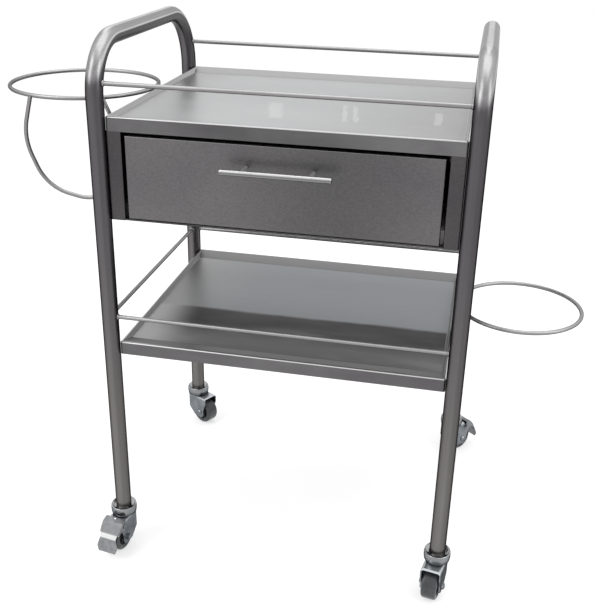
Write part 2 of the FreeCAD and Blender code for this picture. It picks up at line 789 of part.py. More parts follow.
def wheel_tyre():
    """The tread: a wide grey ring with rounded shoulders."""
    half = tyre_half_w
    shoulder = wheel_r - 3.4
    profile = [
        ((tyre_seat_r, -half + 1.2), (tyre_seat_r + 1.6, -half)),
        ((tyre_seat_r + 1.6, -half), (shoulder, -half + 0.4)),
        ((shoulder, -half + 0.4), (wheel_r - 0.9, -half + 1.8), (wheel_r, -half + 4.4)),
        ((wheel_r, -half + 4.4), (wheel_r, half - 4.4)),
        ((wheel_r, half - 4.4), (wheel_r - 0.9, half - 1.8), (shoulder, half - 0.4)),
        ((shoulder, half - 0.4), (tyre_seat_r + 1.6, half)),
        ((tyre_seat_r + 1.6, half), (tyre_seat_r, half - 1.2)),
        ((tyre_seat_r, half - 1.2), (tyre_seat_r, -half + 1.2)),
    ]
    tyre = turned(profile, (0, 1, 0))
    tyre.translate(V(trail, 0, wheel_r))
    return tyre


def pedal_route():
    """The middle line of the pedal plate, seen from the side, about the stem and the floor."""
    return [V(pedal_pin_t - 3.5, crown_top_z + 2.2, 0), V(pedal_pin_t + 8.0, crown_top_z + 0.4, 0),
            V(pedal_pin_t + 20.5, crown_top_z - 14.5, 0), V(pedal_pin_t + 25.5, crown_top_z - 21.0, 0),
            V(pedal_pin_t + pedal_reach, crown_top_z - pedal_drop, 0)]


def brake_shoe(route):
    """The pedal's inner rib, whose round nose stops just off the tyre."""
    axle = V(trail, wheel_r, 0)
    seat = (route[2] + route[3]) * 0.5
    inward = (axle - seat).normalize()
    side = V(-inward.y, inward.x, 0) * shoe_r
    nose = axle - inward * (wheel_r + shoe_rest_gap + shoe_r)
    web = outline([seat + side, seat - side, nose - side, nose + side])
    rib = web.fuse(Part.Face(Part.Wire([Part.makeCircle(shoe_r, nose)]))).extrude(V(0, 0, 2 * shoe_half_w))
    rib.rotate(V(0, 0, 0), V(1, 0, 0), 90)
    rib.translate(V(0, shoe_half_w, 0))
    return rib.removeSplitter()


def brake_pedal():
    """A pressed pedal: a flared plate in front of the wheel, hung from two ears."""
    route = pedal_route()
    plate = folded(route, pedal_t, 5.0).extrude(V(0, 0, 2 * pedal_foot_half))
    plate.rotate(V(0, 0, 0), V(1, 0, 0), 90)
    plate.translate(V(0, pedal_foot_half, 0))
    neck_z = crown_top_z - 18.0
    foot_z = crown_top_z - 35.0
    tip_z = crown_top_z - pedal_trim_drop
    top_z = crown_top_z + 5.0
    ear_z = crown_top_z - 8.0
    front = outline([V(-pedal_top_half, top_z, 0), V(-pedal_top_half, ear_z, 0), V(-pedal_neck_half, neck_z, 0),
                     V(-pedal_foot_half, foot_z, 0), V(-pedal_tip_half, tip_z, 0),
                     V(pedal_tip_half, tip_z, 0), V(pedal_foot_half, foot_z, 0),
                     V(pedal_neck_half, neck_z, 0), V(pedal_top_half, ear_z, 0), V(pedal_top_half, top_z, 0)],
                    [0, 5, 6, 6, 3, 3, 6, 6, 5, 0])
    front_solid = front.extrude(V(0, 0, 2 * (pedal_pin_t + pedal_reach)))
    front_solid.rotate(V(0, 0, 0), V(1, 1, 1), 120)
    plate = plate.common(front_solid)
    ear_in = pedal_top_half - pedal_t
    ear = outline([route[0] + V(0.6, 0.4, 0), route[1] + V(0.3, 0.2, 0), route[2] + V(0, 0, 0),
                   V(pedal_pin_t + 12, pedal_pin_z - 5.0, 0), V(pedal_pin_t, pedal_pin_z - 7.0, 0),
                   V(pedal_pin_t - 6.5, pedal_pin_z - 2.0, 0)], [0, 4, 0, 3, 5, 4])
    ears = []
    for low in (-pedal_top_half, ear_in):
        plate_ear = ear.extrude(V(0, 0, pedal_t))
        plate_ear.rotate(V(0, 0, 0), V(1, 0, 0), 90)
        plate_ear.translate(V(0, low + pedal_t, 0))
        ears.append(plate_ear)
    solid = plate.fuse(ears[0]).fuse(ears[1]).fuse(brake_shoe(route))
    hole_y = pedal_top_half + 1
    return solid.cut(rod((pedal_pin_t, -hole_y, pedal_pin_z), (pedal_pin_t, hole_y, pedal_pin_z),
                         pin_r + bore_gap)).removeSplitter()


def pedal_pin():
    """The pin that hangs the pedal from the fork, with a flat head at each end."""
    reach = pedal_top_half + pedal_side_gap
    pin = rod((pedal_pin_t, -reach, pedal_pin_z), (pedal_pin_t, reach, pedal_pin_z), pin_r)
    for side in (-1, 1):
        head = rod((pedal_pin_t, side * reach, pedal_pin_z),
                   (pedal_pin_t, side * (reach + pedal_pin_head_t), pedal_pin_z), pin_head_r)
        rim = [e for e in head.Edges if e.Length > 20 and abs(e.BoundBox.Center.y) > reach + 1]
        pin = pin.fuse(head.makeFillet(0.6, rim))
    return pin


def placed(shape, corner):
    """A caster piece turned to its trailing direction and moved under its leg."""
    copy = shape.copy()
    copy.rotate(V(0, 0, 0), V(0, 0, 1), trail_deg[corner])
    copy.translate(V(LEGS[corner][0], LEGS[corner][1], 0))
    return copy


# Build the frame, shelves and holders

save("left_side_frame", side_frame(-leg_x))
save("right_side_frame", side_frame(leg_x))
save("top_front_rail", cross_rail(-leg_y + bend_offset(top_rail_z, front_bend_r), top_rail_z))
save("top_rear_rail", cross_rail(leg_y - bend_offset(top_rail_z, rear_bend_r), top_rail_z))
save("lower_front_rail", cross_rail(-leg_y, lower_rail_z))
save("lower_rear_rail", cross_rail(leg_y, lower_rail_z))
save("lower_left_rail", side_rail(-leg_x, lower_rail_z))
save("lower_right_rail", side_rail(leg_x, lower_rail_z))
save("top_shelf", tray(top_shelf_z))
save("lower_shelf", tray(lower_shelf_z))
save("upper_ring", ring(upper_ring_x, upper_ring_z, upper_ring_r))
save("cradle_hoop", cradle_hoop())
save("lower_ring", ring(lower_ring_x, lower_ring_z, lower_ring_r))

# Build the drawer housing and the drawer

save("housing_left_side", housing_side())
save("housing_right_side", flip(housing_side()))
save("housing_back", housing_back())
save("housing_sill", housing_sill())
save("drawer_front", drawer_front())
save("drawer_box", drawer_box())
save("handle_bar", handle_bar())
save("handle_posts", handle_post(-handle_pitch / 2), handle_post(handle_pitch / 2))
save("handle_screws", handle_screw(-handle_pitch / 2), handle_screw(handle_pitch / 2))

front_roller = roller(cabinet_web_x + roller_side_gap, front_roller_y, front_roller_z)
rear_roller = roller(drawer_web_x - roller_side_gap - roller_w, rear_roller_y, rear_roller_z)
fixed_screws = screw_row(cabinet_web_x, rear_roller_z, front_roller_y + 3 * roller_r,
                         cabinet_back_y - roller_r, 1)
moving_screws = screw_row(drawer_web_x, front_roller_z, front_roller_y, rear_roller_y - 3 * roller_r, -1)
save("left_cabinet_runner", cabinet_runner())
save("right_cabinet_runner", flip(cabinet_runner()))
save("left_drawer_runner", drawer_runner())
save("right_drawer_runner", flip(drawer_runner()))
save("left_front_roller", front_roller)
save("right_front_roller", flip(front_roller))
save("left_rear_roller", rear_roller)
save("right_rear_roller", flip(rear_roller))
save("cabinet_runner_screws", *(fixed_screws + [flip(s) for s in fixed_screws]))
save("drawer_runner_screws", *(moving_screws + [flip(s) for s in moving_screws]))

# Build the casters

for corner in LEGS:
    save(corner + "_cup", placed(caster_cup(), corner))
    save(corner + "_fork", placed(fork(corner in braked), corner))
    save(corner + "_axle_bolt", placed(axle_bolt(), corner))
    save(corner + "_wheel_hub", placed(wheel_hub(), corner))
    save(corner + "_wheel_tyre", placed(wheel_tyre(), corner))
for corner in braked:
    save(corner + "_brake_pedal", placed(brake_pedal(), corner))
    save(corner + "_pedal_pin", placed(pedal_pin(), corner))
save("caster_stems", *[placed(caster_stem(), corner) for corner in LEGS])
save("tube_plugs", *[placed(tube_plug(), corner) for corner in LEGS])
save("swivel_bearings", *[placed(swivel_bearing(), corner) for corner in LEGS])
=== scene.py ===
# %% [markdown]
# # Instrument table
# This lesson dresses a stainless steel instrument table. It has two side frames of bent tube, two
# pressed trays, a drawer on runners, rod holders at its sides and four swivel casters. All of it
# could be modelled here, but its solids were first built in a CAD program, where sizes, fits and
# joints are easier to keep right. So the solids come in as a fixed frame, and Blender gives them
# their finishes, adds the small welds and rivets of the real table, and sets camera and light.

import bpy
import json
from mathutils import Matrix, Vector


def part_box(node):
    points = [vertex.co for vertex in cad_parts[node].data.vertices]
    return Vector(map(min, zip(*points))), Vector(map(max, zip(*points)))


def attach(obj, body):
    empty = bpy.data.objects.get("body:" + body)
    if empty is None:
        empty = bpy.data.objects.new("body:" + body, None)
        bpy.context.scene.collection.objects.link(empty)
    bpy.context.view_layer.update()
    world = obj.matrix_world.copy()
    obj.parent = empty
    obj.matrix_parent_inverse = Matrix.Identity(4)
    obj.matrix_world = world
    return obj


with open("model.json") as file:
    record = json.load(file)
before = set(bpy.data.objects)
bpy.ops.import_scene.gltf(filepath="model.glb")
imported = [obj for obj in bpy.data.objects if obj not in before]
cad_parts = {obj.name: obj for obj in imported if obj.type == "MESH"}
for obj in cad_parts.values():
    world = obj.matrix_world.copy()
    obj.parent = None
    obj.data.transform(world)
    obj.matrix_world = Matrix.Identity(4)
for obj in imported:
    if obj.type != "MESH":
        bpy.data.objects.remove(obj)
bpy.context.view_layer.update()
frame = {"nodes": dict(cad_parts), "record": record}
nodes = frame["nodes"]

# %% [markdown]
# ## Modules
# The solids have the real table's size, and nothing that is added here may make it bigger. The
# cell below loads the modules that the rest of the script uses.

# %% Modules
import json
import math

import bmesh
import bpy
from mathutils import Matrix, Vector

# %% [markdown]
# ## Camera
# The photograph was taken from a little above the table and to its right, with a lens of medium
# length. The camera could be placed by eye, but then every edge would be a little off. So its
# place and its three angles were found from the straight edges of the table: the legs, the rails
# and the tray lips. The angles first become directions, because a matrix that is made of right, up
# and backward turns the camera without any guess about the order of rotations.

# %% Directions of the camera
CAMERA_YAW = 0.2004
CAMERA_PITCH = 0.4265
CAMERA_ROLL = 0.0207

forward = Vector((
    -math.sin(CAMERA_YAW) * math.cos(CAMERA_PITCH),
    math.cos(CAMERA_YAW) * math.cos(CAMERA_PITCH),
    -math.sin(CAMERA_PITCH),
))
level_right = Vector((math.cos(CAMERA_YAW), math.sin(CAMERA_YAW), 0))
level_up = level_right.cross(forward)
right = level_right * math.cos(CAMERA_ROLL) + level_up * math.sin(CAMERA_ROLL)
up = level_up * math.cos(CAMERA_ROLL) - level_right * math.sin(CAMERA_ROLL)
print("camera looks along", [round(value, 3) for value in forward])

# %% Set the camera
CAMERA_AT = Vector((0.28741, -1.3908, 1.0303))
FOCAL_PIXELS = 909.318
IMAGE_WIDTH = 594
SENSOR_WIDTH = 36.0
NEAREST_SEEN = 0.05
FARTHEST_SEEN = 200

camera_data = bpy.data.cameras.new("camera")
camera_data.sensor_fit = "HORIZONTAL"
camera_data.sensor_width = SENSOR_WIDTH
camera_data.lens = FOCAL_PIXELS * SENSOR_WIDTH / IMAGE_WIDTH
camera_data.clip_start = NEAREST_SEEN
camera_data.clip_end = FARTHEST_SEEN
camera = bpy.data.objects.new("camera", camera_data)
turn = Matrix((right, up, -forward)).transposed().to_4x4()
camera.matrix_world = Matrix.Translation(CAMERA_AT) @ turn
bpy.context.scene.collection.objects.link(camera)
bpy.context.scene.camera = camera
print("camera lens", round(camera_data.lens, 2), "mm")

# %% [markdown]
# ## Shader helper
# A finish is a tree of nodes. It could be wired in the Shader Editor, or node by node in Python,
# but both hide what the finish does. Two small classes keep it readable. A Signal is one output of
# a node, and Python's own signs add, subtract and multiply it by adding Math nodes. A Bench is the
# tree itself, and its method `node` adds any kind of node.

# %% A signal that Python can reckon with


class Signal:
    """One output of a node, which Python's operators can reckon with."""

    def __init__(self, bench, socket):
        self.bench = bench
        self.socket = socket

    def maths(self, operation, *values):
        numbered = dict(enumerate(values))
        return self.bench.node("ShaderNodeMath", {"operation": operation}, numbered)

    def __abs__(self):
        return self.maths("ABSOLUTE", self)

    def __add__(self, other):
        return self.maths("ADD", self, other)

    def __radd__(self, other):
        return self.maths("ADD", other, self)

    def __sub__(self, other):
        return self.maths("SUBTRACT", self, other)

    def __rsub__(self, other):
        return self.maths("SUBTRACT", other, self)

    def __mul__(self, other):
        return self.maths("MULTIPLY", self, other)

    def __rmul__(self, other):
        return self.maths("MULTIPLY", other, self)

    def parts(self):
        """The x, y and z of a vector as three signals."""
        split = self.bench.node("ShaderNodeSeparateXYZ", None, {0: self})
        return [Signal(self.bench, output) for output in split.socket.node.outputs]


print("signals can be added, subtracted and multiplied")

# %% A bench for the nodes of one tree


class Bench:
    """The node tree of a material or of the world."""

    def __init__(self, owner):
        owner.use_nodes = True
        self.owner = owner
        self.tree = owner.node_tree
        self.tree.nodes.clear()

    def node(self, kind, settings=None, inputs=None, out=0):
        """Adds a node, sets it, feeds its sockets, and gives one of its outputs."""
        made = self.tree.nodes.new(kind)
        for name, value in (settings or {}).items():
            if name == "stops":
                for stop, (at, level) in zip(made.color_ramp.elements, value):
                    stop.position = at
                    stop.color = (level, level, level, 1)
            else:
                setattr(made, name, value)
        for name, value in (inputs or {}).items():
            if isinstance(value, Signal):
                self.tree.links.new(value.socket, made.inputs[name])
            else:
                made.inputs[name].default_value = value
        return Signal(self, made.outputs[out]) if made.outputs else None

    def place(self):
        """Where a point is, in metres from the middle of the floor under the table."""
        return self.node("ShaderNodeTexCoord", out="Object")

    def facing(self):
        """Which way the surface faces, as three signals: to the right, to the back and up."""
        return self.node("ShaderNodeTexCoord", out="Normal").parts()


print("the bench adds any kind of node")

# %% [markdown]
# Most finishes need the same few patterns. Noise gives clouds and grain, and a stretched place
# draws it out into lines. A ramp or a step turns a place, a direction or a noise into a mask that
# runs from 0 to 1. The masks could be painted as pictures, but these follow the shape of a piece
# without a UV map.

# %% Patterns and masks


def product(vector, factors):
    """A vector or a colour, multiplied number by number."""
    sockets = {0: vector, 1: factors}
    return vector.bench.node("ShaderNodeVectorMath", {"operation": "MULTIPLY"}, sockets)


def stretched(place, x, y, z):
    """A place with each direction scaled: a small number makes a pattern's marks long that way."""
    return product(place, (x, y, z))


def noise(place, scale=1.0, detail=2.0, rough=0.5):
    """Clouds with levels from 0 to 1, most of them near the middle."""
    sockets = {"Vector": place, "Scale": scale, "Detail": detail, "Roughness": rough}
    return place.bench.node("ShaderNodeTexNoise", None, sockets)


def ramp(value, low, high):
    """Rises evenly from 0 where the value is low to 1 where it is high."""
    return value.bench.node("ShaderNodeValToRGB", {"stops": ((low, 0), (high, 1))}, {0: value})


def step(value, low, high):
    """Rises smoothly from 0 where the value is low to 1 where it is high."""
    sockets = {"Value": value, "From Min": low, "From Max": high}
    return value.bench.node("ShaderNodeMapRange", {"interpolation_type": "SMOOTHSTEP"}, sockets)


print("patterns and masks ready")

# %% [markdown]
# Colours are chosen as they show on the screen, where levels run from 0 to 255, but a socket takes
# the share of light. The curve between the two could be left to the colour picker. Here a small
# function reckons it, so that every tone can be written as a plain number.

# %% Colours


def share_of_light(level):
    """The share of light of a screen level from 0 to 255, by the curve that screens use."""
    share = max(0.0, min(255.0, level)) / 255
    return share / 12.92 if share <= 0.04045 else ((share + 0.055) / 1.055) ** 2.4


def tone(level, warmth=0.0, violet=0.0):
    """A grey for a colour socket. Warmth above 0 makes it browner and below 0 bluer. Violet
    takes a little green away."""
    screen = (level + warmth + violet, level, level - warmth + violet)
    return (*map(share_of_light, screen), 1.0)


def mix(amount, first, second):
    """A colour between two others: the first where the amount is 0, the second where it is 1."""
    sockets = {0: amount, 6: first, 7: second}
    return amount.bench.node("ShaderNodeMix", {"data_type": "RGBA"}, sockets, out=2)


def dimmed(colour, share):
    """A colour times a number that may vary over the surface."""
    return product(colour, share)


print("a middle grey is", [round(value, 3) for value in tone(128)])

# %% [markdown]
# Every finish ends in a surface shader. Bare metal has nearly the same sockets each time, so it
# gets a helper of its own. Real steel goes pale where it is seen at a slant, but beside a white
# surrounding that would wash out the edges of every tube, so the edge's grey can be set.

# %% Surfaces
MICRON = 0.000001
WHITE = 255


def bump(height, depth):
    """Fine relief: a depth in metres lies between where the pattern is 0 and where it is 1."""
    return height.bench.node("ShaderNodeBump", None, {"Height": height, "Distance": depth})


def surface(colour, rough, relief=None, **others):
    """A surface shader. Its other sockets are given by name, with _ for a space."""
    sockets = {name.replace("_", " "): value for name, value in others.items()}
    sockets.update({"Base Color": colour, "Roughness": rough})
    if relief is not None:
        sockets["Normal"] = relief
    return colour.bench.node("ShaderNodeBsdfPrincipled", None, sockets)


def metal(colour, rough, relief=None, edge=WHITE):
    """Bare metal, with the grey that it shows where it is seen at a slant."""
    return surface(colour, rough, relief, Metallic=1.0, Specular_Tint=tone(edge))


def finished(shader):
    """Ends the tree with a shader and gives the material."""
    shader.bench.node("ShaderNodeOutputMaterial", None, {"Surface": shader})
    return shader.bench.owner


print("surfaces ready")

# %% [markdown]
# ## Finishes
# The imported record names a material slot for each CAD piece. A finish is kept under its slot, or
# under one piece's own name where that piece looks different from the others of its slot. Finishes
# could also be named on each piece in turn, but a slot says it once for all its pieces.

# %% A place to keep finishes
finishes = {}


def new_finish(name):
    """An empty bench for a finish."""
    return Bench(bpy.data.materials.new(name))


def keep(name, material):
    """Keeps a finish under the material slot, or the one CAD piece, that takes it."""
    finishes[name] = material
    print("finish for", name, "has", len(material.node_tree.nodes), "nodes")


print("finishes so far", len(finishes))

# %% [markdown]
# ### Tones of the side frames
# The side frames are stainless tube, which takes its tone from the room, so their tones are painted
# reflections and shade. The legs are brownish near the floor and a cooler, darker grey higher up,
# most of all the right ones, and each has painted shade on its right side. The bars are painted
# dark below, with a light stripe along each side, a middle tone above it and a painted highlight,
# the lightest tone, on the crown. A picture of a room could be mirrored in the tube. Tones that
# follow height and direction are plainer, and they also hold when the table stands somewhere else.

# %% Tones of the side frames
RIGHT_HALF = (0.0, 0.1)
LEG_FADE = (0.06, 0.62)
SHADED_RIGHT_FLANK = (0.1, 0.5)
ABOVE_DARK = (0.16, 0.28)
ABOVE_STRIPE = (0.34, 0.46)
CROWN_HIGHLIGHT = (0.90, 0.98)


def leg_painted_reflection(place):
    """Painted reflection: brownish low down and grey above and darker on the right legs, with
    painted shade on each right flank.
    """
    side, _, height = place.parts()
    across = place.bench.facing()[0]
    high_leg = mix(step(side, *RIGHT_HALF), tone(88, 0, 2), tone(82, 0, 2))
    colour = mix(step(height, *LEG_FADE), tone(110, 2), high_leg)
    # Painted shade on each leg's right flank.
    return dimmed(colour, 1.07 - step(across, *SHADED_RIGHT_FLANK) * 0.22)


def bar_painted_reflection(place):
    """Painted reflection and shade: dark below, then a light stripe, a middle tone and a painted
    highlight on the crown.
    """
    upward = place.bench.facing()[2]
    lit = mix(step(upward, *ABOVE_STRIPE), tone(210, 0, 1), tone(168, 0, 1))
    crown_highlighted = mix(step(upward, *CROWN_HIGHLIGHT), lit, tone(232))
    return mix(step(upward, *ABOVE_DARK), tone(96, 0, 1), crown_highlighted)


print("legs fade between the heights", LEG_FADE)

# %% [markdown]
# ### Brushed tube
# A belt polishes the tube and leaves fine lines that run along it, up the legs and from front to
# back along the top. They could come from a picture wrapped round the tube, but a picture stretches
# at the bends and blurs close up. Noise that is stretched far in one direction stays sharp. It is
# made twice, for the legs and for the bars, and the height says which of them shows. Legs and bars
# also differ at their edges, so each has a surface shader and the height mixes the two.

# %% Brushed tube
BEND = (0.772, 0.832)


def brushed_tube():
    bench = new_finish("frame_tube")
    place = bench.place()
    on_bar = step(place.parts()[2], *BEND)
    leg_lines = noise(stretched(place, 420, 420, 5), detail=3)
    bar_lines = noise(stretched(place, 420, 6, 420), detail=3)
    lines = leg_lines * (1 - on_bar) + bar_lines * on_bar
    patches = noise(stretched(place, 24, 24, 7))
    specks = noise(place, scale=520)
    worn = lines * 0.30 + patches * 0.22 + specks * 0.20 + 0.64
    rough = lines * 0.08 + patches * 0.06 + 0.24
    relief = bump(lines, 10 * MICRON)
    legs = metal(dimmed(leg_painted_reflection(place), worn), rough, relief, edge=60)
    bars = metal(dimmed(bar_painted_reflection(place), worn), rough, relief, edge=205)
    return finished(bench.node("ShaderNodeMixShader", None, {0: on_bar, 1: legs, 2: bars}))


keep("frame_tube", brushed_tube())

# %% [markdown]
# ### Rod
# The rails, rings and hoop are thin drawn rod, with a painted highlight on top and painted shade
# below. Lines along the rod could be made as on the tube, but the rings bend every way, and at this
# thickness nobody would see them. A soft mottling that looks the same in every direction fits
# straight and bent rods alike.

# %% Rod


def drawn_rod():
    bench = new_finish("rod")
    place = bench.place()
    upward = bench.facing()[2]
    mottle = noise(place, scale=90, detail=3)
    drift = noise(place, scale=9, detail=1)
    # Painted shade on the flanks and underside, and a painted highlight on top.
    flank = mix(step(upward, -0.75, 0.0), tone(112, 1, 1), tone(140, 1, 1))
    colour = mix(step(upward, 0.1, 0.8), flank, tone(180))
    worn = mottle * 0.16 + drift * 0.2 + 0.82
    relief = bump(mottle, 10 * MICRON)
    return finished(metal(dimmed(colour, worn), mottle * 0.12 + 0.34, relief, edge=110))


keep("rod", drawn_rod())

# %% [markdown]
# ### Parts of a tray
# A tray is pressed from brushed stainless sheet, with its grain from side to side. Its floor, its
# slopes and its turned-down lips differ in painted tone: the lips get painted shade, a fine line of
# painted shade runs along the crease at the foot of the long slopes, and the rim gets a painted
# highlight. These parts could be painted on a UV map. But they also face different ways, so the
# direction of the surface tells them apart. One helper serves both trays.

# %% Parts of a tray
TRAY_LEFT = -0.233
TRAY_RIGHT = 0.271
SLOPE_FOOT = 0.178
CREASE = (0.0006, 0.0024)
ON_LONG_SLOPE = (0.06, 0.18)
ON_SIDE_SLOPE = (0.04, 0.09)
ABOVE_LIP = (0.15, 0.55)
PAST_RIM = (0.86, 0.96)


def tray_parts(place, floor, rear_slope, front_slope, side_slope, shaded_lip, rim):
    """Puts the tones of floor, slopes, crease, rim and lips where each belongs on a tray, with
    painted shade in the crease and on the lips and a painted highlight on the rim. All slopes face
    inwards, so the rear one faces the front and the front one the back."""
    side, depth, _ = place.parts()
    to_right, to_back, upward = place.bench.facing()
    rear = step(0 - to_back, *ON_LONG_SLOPE)
    front = step(to_back, *ON_LONG_SLOPE)
    sloped = mix(front, mix(rear, floor, rear_slope), front_slope)
    # Painted shade along the crease at the foot of the long slopes.
    from_crease = abs(abs(depth) - SLOPE_FOOT)
    crease_shaded = dimmed(sloped, step(from_crease, *CREASE) * 0.22 + 0.78)
    # Painted highlight on the rim, painted shade on the lips.
    rim_highlighted = mix(step(upward, *PAST_RIM), rim, crease_shaded)
    lipped = mix(step(upward, *ABOVE_LIP), shaded_lip, rim_highlighted)
    facing_in = step(0 - to_right * side, *ON_SIDE_SLOPE)
    return mix(facing_in, lipped, side_slope)


def tray_sheet(place, colour, smears, contrast, smooth):
    """Sheet whose grain and smears make it darker and lighter, rougher and smoother."""
    grain = noise(stretched(place, 12, 900, 900), detail=3)
    grained = dimmed(colour, grain * contrast + (1 - contrast / 2))
    rough = grain * 0.10 + smears * 0.10 + smooth
    return finished(metal(grained, rough, bump(grain, 20 * MICRON)))


print("a tray's creases lie", SLOPE_FOOT, "m before and behind its middle")

# %% [markdown]
# ### Top tray
# The top tray's floor is painted with the light and shade it mirrors: lighter towards the left,
# a little darker at the left end, and in painted shade towards the right. Over this lie lighter
# smears and a few pale streaks that run across the grain to the back. Its lips have painted shade,
# darkest at their middle. Noise could scatter such streaks, but only by chance. So each streak is a
# soft, ragged stripe with a place and a size of its own.

# %% Pale streaks
RAGGED = 0.012
PALE_STREAKS = (
    # middle across and in depth, half of the width and of the length, and lean to the left
    (-0.018, -0.075, 0.014, 0.058, 0.20),
    (0.084, -0.064, 0.005, 0.064, 0.15),
    (0.101, -0.066, 0.004, 0.060, 0.15),
    (0.222, -0.066, 0.007, 0.046, 0.05),
)


def pale_streak(place, middle, middle_depth, half_width, half_length, lean):
    """1 inside a mark that runs to the back, with soft and ragged edges, and 0 outside."""
    side, depth, _ = place.parts()
    ragged = noise(stretched(place, 130, 16, 1)) * RAGGED
    leaning = side + ragged + (depth - middle_depth) * lean
    off_side = abs(leaning - middle - RAGGED / 2)
    off_depth = abs(depth - middle_depth)
    inside_width = 1 - step(off_side, half_width * 0.5, half_width)
    inside_length = 1 - step(off_depth, half_length * 0.7, half_length)
    return inside_width * inside_length


print("streaked marks", len(PALE_STREAKS))

# %% Top tray
LIP_MIDDLE = 0.02
LIP_FADE = (0.04, 0.22)
LEFT_END = (TRAY_LEFT - 0.01, TRAY_LEFT + 0.09)
LEFT_END_LEAN = 0.16
RIGHT_SHADE = (0.02, TRAY_RIGHT + 0.05)
RIGHT_SHADE_LEAN = 0.3


def top_tray_floor(place, smears):
    side, depth, _ = place.parts()
    # Painted reflection: a little darker at the left end, and painted shade towards the right.
    past_left_end = step(side - depth * LEFT_END_LEAN, *LEFT_END)
    in_right_shade = step(side - depth * RIGHT_SHADE_LEAN, *RIGHT_SHADE)
    plain = mix(in_right_shade, mix(past_left_end, tone(172), tone(184, -1)), tone(160))
    smeared = mix(ramp(smears, 0.42, 0.68) * 0.25, plain, tone(200))
    marks = sum(pale_streak(place, *mark) for mark in PALE_STREAKS)
    return mix(marks * 0.34, smeared, tone(222))


def top_tray():
    place = new_finish("tray_sheet").place()
    smears = noise(stretched(place, 5, 9, 9), detail=4, rough=0.6)
    # Painted shade on the lips, darkest at their middle.
    from_middle = abs(place.parts()[0] - LIP_MIDDLE)
    shaded_lip = mix(ramp(smears, 0.36, 0.64), tone(94, 0, 2), tone(116, 0, 1))
    shaded_lip = dimmed(shaded_lip, step(from_middle, *LIP_FADE) * 0.32 + 0.68)
    floor = top_tray_floor(place, smears)
    colour = tray_parts(place, floor, tone(172, 0, 1), tone(174), tone(166), shaded_lip, tone(200))
    return tray_sheet(place, colour, smears, contrast=0.20, smooth=0.26)


keep("tray_sheet", top_tray())

# %% [markdown]
# ### Lower tray
# The lower tray stands in the shade of the drawer. Its front half is darker, with a quite sharp
# edge and a few pale streaks, and its left end catches the light. A shadow from the lamps could
# make the dark half, but soft lamps give no edge as sharp as this. So that shade, and the light at
# the left end, are painted into the finish, and the tray has a finish of its own.

# %% Lower tray
SHADE_EDGE = (-0.036, -0.024)
SHADE_DEEPENS = (-0.150, -0.075)
STREAKS_END = (-0.12, -0.07)
WANDER = 0.02
REAR_LEFT_END = (TRAY_LEFT, TRAY_LEFT + 0.16)
FRONT_LEFT_END = (TRAY_LEFT + 0.015, TRAY_LEFT + 0.10)


def lower_tray_floor(place, smears):
    side, depth, _ = place.parts()
    wander = smears * WANDER
    # Painted light: the rear is lighter than the shaded front, most of all at its left end.
    rear = mix(step(side, *REAR_LEFT_END), tone(156), tone(144, -3))
    # Painted shade of the drawer over the front half, darkest just in front of its edge.
    painted_shade = mix(step(depth + wander, *SHADE_DEEPENS), tone(126, 0, 1), tone(50, 0, 2))
    streaks = ramp(noise(stretched(place, 9, 34, 1)), 0.52, 0.68)
    in_front = 1 - step(depth, *STREAKS_END)
    painted_shade = mix(streaks * in_front * 0.4, painted_shade, tone(150, 0, 1))
    # Painted light at the left end of the front half.
    front = mix(step(side + wander, *FRONT_LEFT_END), tone(176), painted_shade)
    whole = mix(step(depth + wander, *SHADE_EDGE), front, rear)
    return mix(ramp(smears, 0.45, 0.7) * 0.12, whole, tone(170))


def lower_tray():
    place = new_finish("lower_tray_sheet").place()
    smears = noise(stretched(place, 4, 9, 9), detail=4, rough=0.6)
    shaded_lip = mix(ramp(smears, 0.36, 0.64), tone(90, 0, 2), tone(108, 0, 1))
    floor = lower_tray_floor(place, smears)
    # Painted shade on the lips and slopes, and a painted highlight on the rim.
    colour = tray_parts(
        place, floor, tone(134, 0, 1), tone(100, 0, 1), tone(128), shaded_lip, tone(208)
    )
    return tray_sheet(place, colour, smears, contrast=0.24, smooth=0.28)


keep("lower_shelf", lower_tray())

# %% [markdown]
# ### Drawer sheet
# The drawer and its housing are folded from a duller, darker sheet. The drawer is a shade lighter,
# and the housing is painted darker still, as shade. The drawer has slow cloudy changes of tone and
# is dullest a little right of its middle. Where the sheet is folded, edges that face up get a
# painted highlight and those that face down painted shade. Those edges could be found with a Bevel
# node, which is slow. The direction of the surface does the same work here, because the folds that
# show face up or down. One recipe serves both, each with its own tones.

# %% Drawer sheet
DULLEST_AT = 0.10
DULL_REACH = 0.19


def drawer_sheet(name, level, spread, dulled):
    """Dull sheet: a tone, how far it drifts in clouds, and how much duller its dullest part is."""
    bench = new_finish(name)
    place = bench.place()
    upward = bench.facing()[2]
    grain = noise(stretched(place, 400, 560, 560), detail=3)
    clouds = noise(stretched(place, 5, 5, 7))
    cloudy = mix(ramp(clouds, 0.34, 0.66), tone(level - spread, 0, 2), tone(level + spread, 1, 1))
    near_dullest = 1 - step(abs(place.parts()[0] - DULLEST_AT), 0.0, DULL_REACH)
    flat = mix(near_dullest * dulled, cloudy, tone(level - 24, 0, 1))
    # Painted highlight on edges that face up, painted shade on those that face down.
    edge_highlighted = mix(step(upward, 0.25, 0.8), flat, tone(level + 30))
    shaded = mix(step(upward, -0.6, -0.1), tone(level - 48), edge_highlighted)
    rough = grain * 0.10 + clouds * 0.08 + 0.28
    return finished(metal(dimmed(shaded, grain * 0.62 + 0.69), rough, bump(grain, 20 * MICRON)))


keep("drawer_sheet", drawer_sheet("drawer_sheet", level=102, spread=5, dulled=0.6))
# The housing takes the same recipe, painted darker as shade.
housing_sheet = drawer_sheet("housing_sheet", level=76, spread=5, dulled=0.0)
for node in ("housing_left_side", "housing_right_side", "housing_back", "housing_sill"):
    keep(node, housing_sheet)

